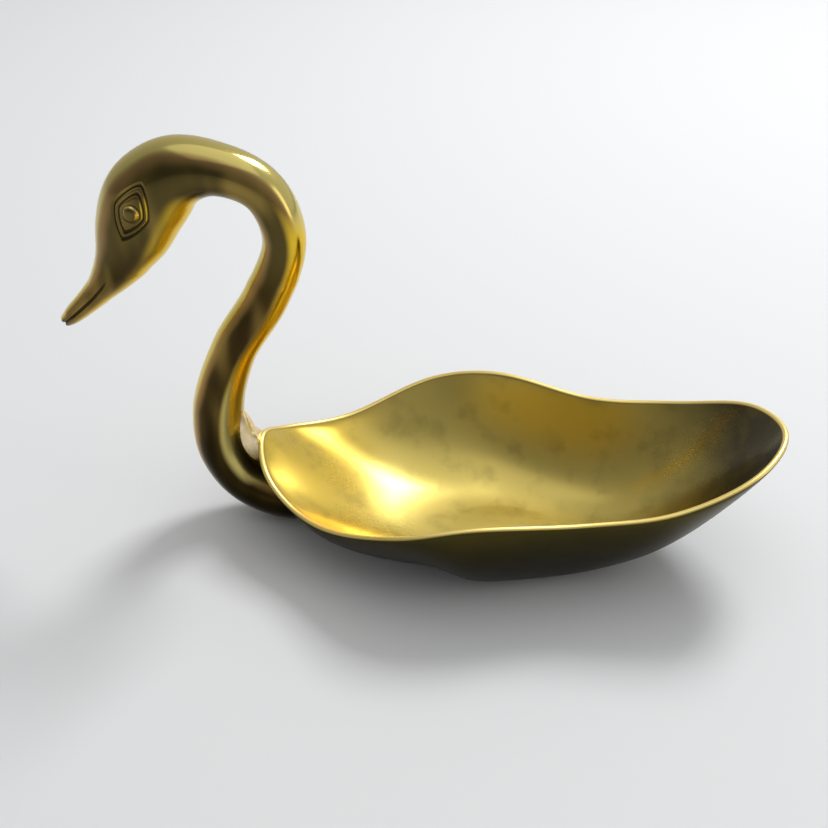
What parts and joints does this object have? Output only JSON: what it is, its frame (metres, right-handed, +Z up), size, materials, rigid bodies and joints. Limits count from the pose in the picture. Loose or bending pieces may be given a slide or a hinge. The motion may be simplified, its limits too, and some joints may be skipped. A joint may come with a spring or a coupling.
{
  "type": "brass swan dish",
  "caption": "Cast brass swan: a boat-shaped open dish with a waved rim for a body, and a solid curved neck and head with engraved eyes brazed to its front.",
  "frame": {"origin": "middle of the flat oval under the dish that it stands on", "axes": "+X from the breast to the tail, +Y across, +Z up; y = 0 is the mirror plane"},
  "size_m": [0.2291, 0.0898, 0.1366],
  "materials": {
    "dish_brass": "polished, lightly tarnished",
    "neck_brass": "polished, lightly tarnished",
    "braze": "filed and polished, paler"
  },
  "bodies": {
    "root": {"dish": "dish_brass", "neck_and_head": "neck_brass", "braze_fillet": "braze"}
  },
  "joints": []
}
